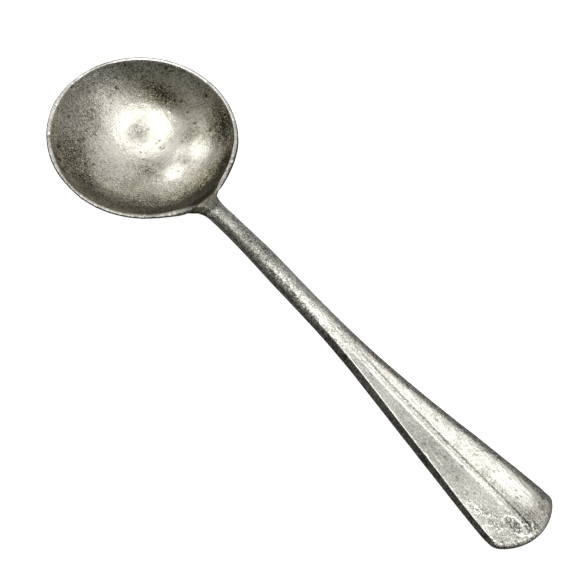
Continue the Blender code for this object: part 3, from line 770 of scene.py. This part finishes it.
    # the side walls darkened as painted shade
    for col, val in ((0, 0.84), (ACROSS - 1, 0.70)):
        for k in range(wall_rows - 1):
            dull_and_shade[first:first + n] = val + 0.10 * waves(points[first:first + n], 5.0, 35)
            first += n
    world = to_table(points)
    world[:, 2] = np.maximum(world[:, 2], 0.0)
    grain = 0.36 + 1.0 * step(0.0, 0.55, dull_and_shade)
    grain[:m] *= 1 - 0.55 * step(146.0, 158.0, x) * step(-0.5, 1.5, y)
    grain[:m] *= 1 - 0.20 * (1 - step(60.0, 80.0, x))
    grain[:m] += 0.90 * step(0.10, 0.45, q) * (1 - step(64.0, 84.0, x))
    grain[:m] += 0.55 * np.exp(-((q + 0.12) / 0.40) ** 2) * step(58.0, 66.0, x) * (1 - step(90.0, 102.0, x))
    foot = np.zeros(total)
    foot[:m] = 1 - step(30.6, 34.6, x + 0.9 * waves(top, 2.0, 32))
    grain *= 1 - 0.55 * foot
    dragged = np.zeros(total)
    dragged[:m] = blob(x, y, 157.0, 7.0, 8.0, 3.2) + 0.4 * blob(x, y, 132.0, 6.0, 18.0, 3.0)
    return make_piece("handle_casting", world, faces,
                      {"tarnish_and_shade": dull_and_shade, "pits": pits, "wear_and_sheen": wear_and_sheen, "scuff": rubbed, "grain": grain,
                       "grey": -0.7 * foot, "rubbed": dragged})


# ---- solder -----------------------------------------------------------------
def build_solder():
    """A fillet of solder round the foot, run out over the rim at the top."""
    # the bowl's outside as one line: up the wall, over the crown, into the bowl
    t = np.linspace(0.25, ARC, 600)
    r, z = profile(t, 0.0)
    keep = z < -0.30
    r = r + LIP_OUT * step(-2.0, -0.30, z)
    drawn, low = list(step(-3.8, -0.3, z)[keep]), list(step(-2.5, -0.3, z)[keep])
    r, z = list(r[keep]), list(z[keep])
    thick, crown = [0.0] * len(r), [0.0] * len(r)
    r_in, z_in = profile(np.array(arc_at_height(-WALL, -0.34)), -WALL)
    r0, z0 = r[-1], z[-1]
    for i in range(1, 10):
        q = math.pi * (i / 9)
        s = 0.5 - 0.5 * math.copysign(abs(math.cos(q)) ** 0.8, math.cos(q))
        r.append(r0 + (float(r_in) - r0) * s)
        z.append(z0 + (float(z_in) - z0) * s)
        crown.append(abs(math.sin(q)) ** 0.75 * LIP_HIGH)
        drawn.append(1 - s)
        thick.append(s)
        low.append(1.0)
    for k in np.linspace(arc_at_height(-WALL, -0.36), 0.8, 60):
        a, b = profile(np.array(k), -WALL)
        r.append(float(a))
        z.append(float(b))
        crown.append(0.0)
        drawn.append(0.0)
        thick.append(float(step(-3.6, -0.34, b)))
        low.append(float(step(-2.5, -0.34, b)))
    r, z = np.array(r), np.array(z)
    length = np.concatenate([[0], np.cumsum(np.hypot(np.diff(r), np.diff(z)))])
    dr, dz = np.gradient(r, length), np.gradient(z, length)

    def on_bowl(s, turn, out):
        rr, zz = np.interp(s, length, r), np.interp(s, length, z)
        deg = np.degrees(turn)
        root = root_at(deg)
        rr = rr + along(LIP_DRAW, deg) * np.interp(s, length, drawn) - along(LIP_IN, deg) * np.interp(s, length, thick)
        zz = zz - ROOT_DIP * root * np.interp(s, length, low) + (1 - 0.85 * root) * np.interp(s, length, crown)
        nr, nz = np.interp(s, length, dz), -np.interp(s, length, dr)
        ln = np.hypot(nr, nz)
        rr, zz = rr + out * nr / ln, zz + out * nz / ln
        return np.stack([rr * np.cos(turn), rr * np.sin(turn), zz], -1)

    # where the foot meets the wall, going round the foot
    count, steps = 220, 11
    angle = np.linspace(0, 2 * math.pi, count, endpoint=False)
    sin_a, cos_a = np.sin(angle), np.cos(angle)

    def on_foot(rho, grow):
        wide = np.where(cos_a < 0, half_width(rho, -1), half_width(rho, 1)) + grow
        mid, half = levels(rho)
        return seat(np.stack([rho, wide * cos_a, mid + (half + grow) * sin_a], 1))

    join = on_foot(np.full(count, RIM_R), 0.0)
    up_to = np.argmax(z)
    meet_t = np.arctan2(join[:, 1], join[:, 0])
    meet_z = join[:, 2] + ROOT_DIP * root_at(np.degrees(meet_t)) * step(-2.5, -0.3, join[:, 2])
    meet_s = np.interp(np.minimum(meet_z, -0.05), z[:up_to], length[:up_to])
    top = np.clip(sin_a, 0, 1) ** 2
    ring = np.stack([12 * cos_a, 12 * sin_a, 0 * angle], 1)
    lump = waves(ring, 6.0, 51)
    ds, dt = sin_a * 1.0, cos_a * 1.0
    leg_a = 0.55 + 0.20 * lump + 0.40 * top
    leg_b = 0.55 + 0.25 * waves(ring, 5.0, 52) + 2.3 * top * (1 + 0.25 * waves(ring, 2.0, 53))
    far = on_bowl(meet_s + leg_a * ds, meet_t + leg_a * dt / RIM_R, -0.03)
    near = on_foot(RIM_R + leg_b, -0.03)
    corner = on_bowl(meet_s + 0.1 * ds, meet_t + 0.1 * dt / RIM_R, 0.10)
    rings = []
    for k in range(steps):
        u = k / (steps - 1)
        p = far * (1 - u) ** 2 + 2 * corner * u * (1 - u) + near * u ** 2
        over = math.sin(math.pi * u) * (0.05 + 0.03 * lump)
        away = p - np.array([31.0, 0.0, -2.7])
        away /= np.linalg.norm(away, axis=1)[:, None]
        rings.append(p + away * over[:, None])
    # the unseen back of the fillet, inside foot and wall
    rings.append(on_foot(RIM_R + 0.5 * leg_b, -0.45))
    deep = on_bowl(meet_s + 0.2 * leg_a * ds, meet_t + 0.2 * leg_a * dt / RIM_R, -0.40)
    rings.append(deep)
    pts = np.concatenate(rings)
    faces = []
    for k in range(len(rings)):
        a = k * count + np.arange(count)
        b = (k + 1) % len(rings) * count + np.arange(count)
        faces += [tuple(f) for f in np.stack([a, np.roll(a, -1), np.roll(b, -1), b], 1)]
    world = to_table(pts)
    # darker on the left side of the foot: painted shade
    dull_and_shade = 0.62 + 0.12 * waves(pts, 1.4, 55) + 0.24 * step(1.0, -4.0, pts[:, 1])
    return make_piece("solder_fillet", world, faces,
                      {"tarnish_and_shade": dull_and_shade, "pits": 0 * dull_and_shade, "wear_and_sheen": 0 * dull_and_shade, "scuff": 0 * dull_and_shade,
                       "grain": 0 * dull_and_shade + 0.35, "grey": 0 * dull_and_shade})


# ---- materials --------------------------------------------------------------
class Graph:
    """Small helper to lay nodes."""

    def __init__(self, tree):
        self.tree = tree
        self.nodes, self.links = tree.nodes, tree.links

    def add(self, kind, **props):
        node = self.nodes.new(kind)
        for key, value in props.items():
            setattr(node, key, value)
        return node

    def put(self, socket, value):
        if isinstance(value, bpy.types.NodeSocket):
            self.links.new(value, socket)
        else:
            socket.default_value = value

    def math(self, op, a, b=0.0, c=0.0, clamp=False):
        n = self.add("ShaderNodeMath", operation=op, use_clamp=clamp)
        for s, v in zip(n.inputs, (a, b, c)):
            self.put(s, v)
        return n.outputs[0]

    def ramp(self, value, lo, hi, out_lo=0.0, out_hi=1.0, smooth=True):
        n = self.add("ShaderNodeMapRange", interpolation_type="SMOOTHSTEP" if smooth else "LINEAR")
        for s, v in zip(n.inputs, (value, lo, hi, out_lo, out_hi)):
            self.put(s, v)
        return n.outputs[0]

    def attribute(self, name):
        n = self.add("ShaderNodeAttribute", attribute_name=name)
        return n.outputs["Fac"]

    def noise(self, coords, scale, detail=3.0, rough=0.55, stretch=None, distort=0.0):
        if stretch is not None:
            m = self.add("ShaderNodeMapping")
            self.put(m.inputs["Vector"], coords)
            m.inputs["Scale"].default_value = stretch
            coords = m.outputs[0]
        n = self.add("ShaderNodeTexNoise")
        self.put(n.inputs["Vector"], coords)
        n.inputs["Scale"].default_value = scale
        n.inputs["Detail"].default_value = detail
        n.inputs["Roughness"].default_value = rough
        n.inputs["Distortion"].default_value = distort
        return n.outputs["Fac"]

    def cells(self, coords, scale, random=1.0):
        n = self.add("ShaderNodeTexVoronoi")
        self.put(n.inputs["Vector"], coords)
        n.inputs["Scale"].default_value = scale
        n.inputs["Randomness"].default_value = random
        return n.outputs["Distance"]

    def colors(self, value, stops):
        n = self.add("ShaderNodeValToRGB")
        self.put(n.inputs[0], value)
        ramp = n.color_ramp
        while len(ramp.elements) < len(stops):
            ramp.elements.new(0.5)
        for el, (pos, col) in zip(ramp.elements, stops):
            el.position = pos
            el.color = (*col, 1.0)
        return n.outputs[0]

    def mix(self, factor, a, b, blend="MIX"):
        n = self.add("ShaderNodeMix", data_type="RGBA", blend_type=blend)
        self.put(n.inputs[0], factor)
        self.put(n.inputs[6], a)
        self.put(n.inputs[7], b)
        return n.outputs[2]


def pewter(name, stops, grey_stops, warm_stops, rough, grain, mottling, streak, speck, axis=None):
    """Aged white metal: clean or worn places, olive-brown tarnish, grain, pits, fine scratches; the tarnish and wear
    attributes also bring in painted shade and painted highlights.
    """
    mat = bpy.data.materials.new(name)
    mat.use_nodes = True
    g = Graph(mat.node_tree)
    bsdf = g.nodes["Principled BSDF"]
    bsdf.inputs["Metallic"].default_value = 1.0
    at = g.add("ShaderNodeTexCoord").outputs["Object"]
    tarnish_and_shade, pits, wear_and_sheen = g.attribute("tarnish_and_shade"), g.attribute("pits"), g.attribute("wear_and_sheen")
    scuff, grainy = g.attribute("scuff"), g.attribute("grain")

    fine = g.noise(at, 1500.0, 3.0, 0.68, distort=0.5)
    finer = g.noise(at, 3000.0, 2.0, 0.6)
    scratch = g.ramp(g.noise(at, 1.0, 2.0, 0.5, stretch=(1500.0, 2300.0, 1500.0), distort=0.6), 0.40, 0.60)
    mottle = g.noise(at, 330.0, 5.0, 0.68, distort=0.4)
    cloud = g.noise(at, 95.0, 4.0, 0.6)
    lines = g.noise(at, 1.0, 4.0, 0.65, stretch=(120.0, 2600.0, 600.0))
    holes = g.cells(at, 620.0)
    hole_where = g.noise(at, 210.0, 2.0, 0.5)

    # how tarnished each place is, with the painted shade that the attribute carries
    t = g.math("ADD", tarnish_and_shade, 0.12)
    calm = g.ramp(grainy, 0.1, 0.7, 0.45, 1.0)
    patches = g.math("ADD", g.math("MULTIPLY", g.math("SUBTRACT", cloud, 0.5), 0.55 * mottling),
                     g.math("MULTIPLY", g.math("SUBTRACT", mottle, 0.5), 0.9 * mottling))
    t = g.math("ADD", t, g.math("MULTIPLY", patches, calm))
    much = g.math("MULTIPLY", g.math("MULTIPLY", grainy, grain), g.ramp(wear_and_sheen, 0.0, 1.0, 1.0, 0.4))
    both = g.math("ADD", g.math("MULTIPLY", fine, 0.85), g.math("MULTIPLY", finer, 1.0))
    t = g.math("ADD", t, g.math("MULTIPLY", g.math("SUBTRACT", both, 0.925), much))
    t = g.math("SUBTRACT", t, g.math("MULTIPLY", g.math("SUBTRACT", scratch, 0.45),
                                     g.math("MULTIPLY", scuff, 0.55)))
    t = g.math("ADD", t, g.math("MULTIPLY", g.math("SUBTRACT", lines, 0.5), 0.9 * streak))
    t = g.math("SUBTRACT", t, g.math("MULTIPLY", wear_and_sheen, 0.40))
    if axis is not None:
        # marks round an upright axis
        part = g.add("ShaderNodeSeparateXYZ")
        g.put(part.inputs[0], at)
        px, py = g.math("SUBTRACT", part.outputs[0], axis), part.outputs[1]
        far = g.math("SQRT", g.math("ADD", g.math("MULTIPLY", px, px), g.math("MULTIPLY", py, py)))
        turned = g.add("ShaderNodeCombineXYZ")
        g.put(turned.inputs[0], g.math("MULTIPLY", g.math("DIVIDE", px, far), 7.0))
        g.put(turned.inputs[1], g.math("MULTIPLY", g.math("DIVIDE", py, far), 7.0))
        g.put(turned.inputs[2], g.math("MULTIPLY", far, 1100.0))
        round_marks = g.noise(turned.outputs[0], 1.0, 3.0, 0.6)
        t = g.math("ADD", t, g.math("MULTIPLY", g.math("SUBTRACT", round_marks, 0.5),
                                    g.math("MULTIPLY", g.attribute("rubbed"), 0.80)))
    else:
        # marks along the handle
        t = g.math("ADD", t, g.math("MULTIPLY", g.math("SUBTRACT", lines, 0.5),
                                    g.math("MULTIPLY", g.attribute("rubbed"), 1.30)))
    spot = g.math("MULTIPLY", g.ramp(holes, 0.30, 0.12), g.ramp(hole_where, 0.50, 0.68))
    spot = g.math("MAXIMUM", g.math("MULTIPLY", spot, speck), pits)
    t = g.math("ADD", t, g.math("MULTIPLY", spot, 0.55), clamp=True)
    grey = g.attribute("grey")
    color = g.mix(g.ramp(grey, 0.0, 1.0, smooth=False), g.colors(t, stops), g.colors(t, grey_stops))
    color = g.mix(g.ramp(grey, 0.0, -1.0, smooth=False), color, g.colors(t, warm_stops))
    g.put(bsdf.inputs["Base Color"], color)

    rg = g.math("ADD", rough, g.math("MULTIPLY", t, 0.22))
    rg = g.math("ADD", rg, g.math("MULTIPLY", g.math("SUBTRACT", mottle, 0.5), 0.16))
    rg = g.math("SUBTRACT", rg, g.math("MULTIPLY", wear_and_sheen, 0.05), clamp=True)
    g.put(bsdf.inputs["Roughness"], rg)

    h = g.math("ADD", g.math("MULTIPLY", fine, 0.62), g.math("MULTIPLY", finer, 0.26))
    h = g.math("MULTIPLY", h, g.ramp(grainy, 0.1, 1.0, 0.30, 1.05))
    h = g.math("ADD", h, g.math("MULTIPLY", mottle, 0.9))
    h = g.math("ADD", h, g.math("MULTIPLY", lines, 0.8 * streak))
    h = g.math("SUBTRACT", h, g.math("MULTIPLY", spot, 0.6))
    h = g.math("ADD", h, g.math("MULTIPLY", g.math("MULTIPLY", scratch, scuff), 0.7))
    bump = g.add("ShaderNodeBump")
    bump.inputs["Strength"].default_value = 1.0
    bump.inputs["Distance"].default_value = 0.00012
    g.put(bump.inputs["Height"], h)
    g.put(bsdf.inputs["Normal"], bump.outputs[0])
    return mat


# ---- studio -----------------------------------------------------------------
AWAY = Vector((-0.6549, 0.7557, 0.0))     # from the camera across the table
RIGHT = Vector((0.7557, 0.6549, 0.0))


def toward(turn, height):
    """Direction at a turn from AWAY to RIGHT and a height over the table, in degrees."""
    a, e = math.radians(turn), math.radians(height)
    return (AWAY * math.cos(a) + RIGHT * math.sin(a)) * math.cos(e) + Vector((0, 0, math.sin(e)))


def studio():
    world = bpy.data.worlds.new("studio")
    bpy.context.scene.world = world
    world.use_nodes = True
    g = Graph(world.node_tree)
    back = g.nodes["Background"]
    way = g.add("ShaderNodeTexCoord").outputs["Generated"]

    def dot(direction):
        n = g.add("ShaderNodeVectorMath", operation="DOT_PRODUCT")
        g.put(n.inputs[0], way)
        n.inputs[1].default_value = tuple(direction)
        return n.outputs["Value"]

    def lamp(turn, height, inner, outer, power):
        d = dot(toward(turn, height))
        return g.ramp(d, math.cos(math.radians(outer)), math.cos(math.radians(inner)), 0.0, power)

    up = dot((0, 0, 1))
    away = dot(AWAY)
    room = g.ramp(up, -0.1, 0.90, 0.22, 0.72)
    front = g.ramp(away, -0.60, 0.10, 0.42, 1.0)
    light = g.math("MULTIPLY", room, front)
    for turn, height, inner, outer, power in LAMPS:
        light = g.math("ADD", light, lamp(turn, height, inner, outer, power))
    below = g.ramp(up, -0.35, 0.0, 0.0, 1.0)
    under = g.ramp(away, -0.40, 0.2, 0.20, 0.62)
    light = g.math("ADD", g.math("MULTIPLY", light, below),
                   g.math("MULTIPLY", under, g.math("SUBTRACT", 1.0, below)))
    seen = g.add("ShaderNodeLightPath").outputs["Is Camera Ray"]
    shown = g.math("ADD", g.math("MULTIPLY", light, g.math("SUBTRACT", 1.0, seen)), seen)
    g.put(back.inputs["Strength"], shown)
    back.inputs["Color"].default_value = (1.0, 0.995, 0.985, 1.0)

    bpy.ops.mesh.primitive_plane_add(size=5.0, location=(0.07, 0.0, -0.00005))
    floor = bpy.context.object
    floor.name = "floor"
    mat = bpy.data.materials.new("pale_floor")
    mat.use_nodes = True
    b = mat.node_tree.nodes["Principled BSDF"]
    b.inputs["Base Color"].default_value = (0.93, 0.93, 0.925, 1.0)
    b.inputs["Roughness"].default_value = 0.9
    b.inputs["Specular IOR Level"].default_value = 0.1
    b.inputs["Emission Color"].default_value = (1.0, 1.0, 1.0, 1.0)
    b.inputs["Emission Strength"].default_value = 0.86
    floor.data.materials.append(mat)
    floor.visible_glossy = False
    floor.visible_shadow = False


# soft lamps: turn, height, inner and outer half angle, power
LAMPS = [(125.0, 85.0, 14.0, 31.0, 2.0),      # overhead
         (-63.0, 41.0, 5.0, 20.0, 1.09),      # window
         (-30.0, 36.0, 4.0, 14.5, 1.14),      # its second pane
         (116.0, 39.0, 2.0, 26.0, 0.50)]      # bounce


def camera():
    data = bpy.data.cameras.new("camera")
    data.lens, data.sensor_width = 68.27586, 36.0
    data.clip_start, data.clip_end = 0.01, 20.0
    obj = bpy.data.objects.new("camera", data)
    obj.location = (0.17364, -0.12423, 0.29437)
    obj.rotation_euler = tuple(math.radians(a) for a in (29.5769, -3.3783, 46.8396))
    bpy.context.scene.collection.objects.link(obj)
    bpy.context.scene.camera = obj


# ---- scene ------------------------------------------------------------------
bowl = build_bowl()
handle = build_handle()
solder = build_solder()

BOWL_METAL = [(0.0, (0.84, 0.818, 0.735)), (0.14, (0.65, 0.630, 0.552)),
              (0.36, (0.42, 0.400, 0.330)), (0.68, (0.19, 0.177, 0.135)),
              (1.0, (0.027, 0.0245, 0.018))]
OLIVE_METAL = [(0.0, (0.84, 0.815, 0.700)), (0.14, (0.65, 0.628, 0.500)),
               (0.36, (0.42, 0.400, 0.295)), (0.68, (0.19, 0.178, 0.118)),
               (1.0, (0.027, 0.0245, 0.015))]
RIM_METAL = [(0.0, (0.84, 0.828, 0.785)), (0.14, (0.63, 0.618, 0.578)),
             (0.36, (0.41, 0.400, 0.366)), (0.68, (0.18, 0.174, 0.156)),
             (1.0, (0.045, 0.043, 0.037))]
HANDLE_METAL = [(0.0, (0.84, 0.830, 0.775)), (0.14, (0.64, 0.630, 0.580)),
                (0.36, (0.41, 0.402, 0.364)), (0.68, (0.19, 0.184, 0.163)),
                (1.0, (0.055, 0.053, 0.044))]
SOLDER_METAL = [(0.0, (0.44, 0.435, 0.366)), (0.5, (0.27, 0.266, 0.212)), (1.0, (0.06, 0.058, 0.041))]
bowl.data.materials.append(pewter("tarnished_bowl", BOWL_METAL, RIM_METAL, OLIVE_METAL, 0.19, 1.9, 0.75, 0.05, 0.30,
                                  axis=-0.0030))
handle.data.materials.append(pewter("worn_handle", HANDLE_METAL, HANDLE_METAL, BOWL_METAL, 0.24, 1.6, 0.55, 0.35, 0.35))
solder.data.materials.append(pewter("dull_solder", SOLDER_METAL, SOLDER_METAL, SOLDER_METAL, 0.40, 1.3, 0.60, 0.0, 0.2))

for piece, node, slot in ((bowl, "bowl", "bowl_metal"), (handle, "handle", "handle_metal"),
                          (solder, "solder_seam", "solder")):
    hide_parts(node)
    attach(piece, "root")

studio()
camera()
bpy.context.scene.view_settings.view_transform = "Standard"
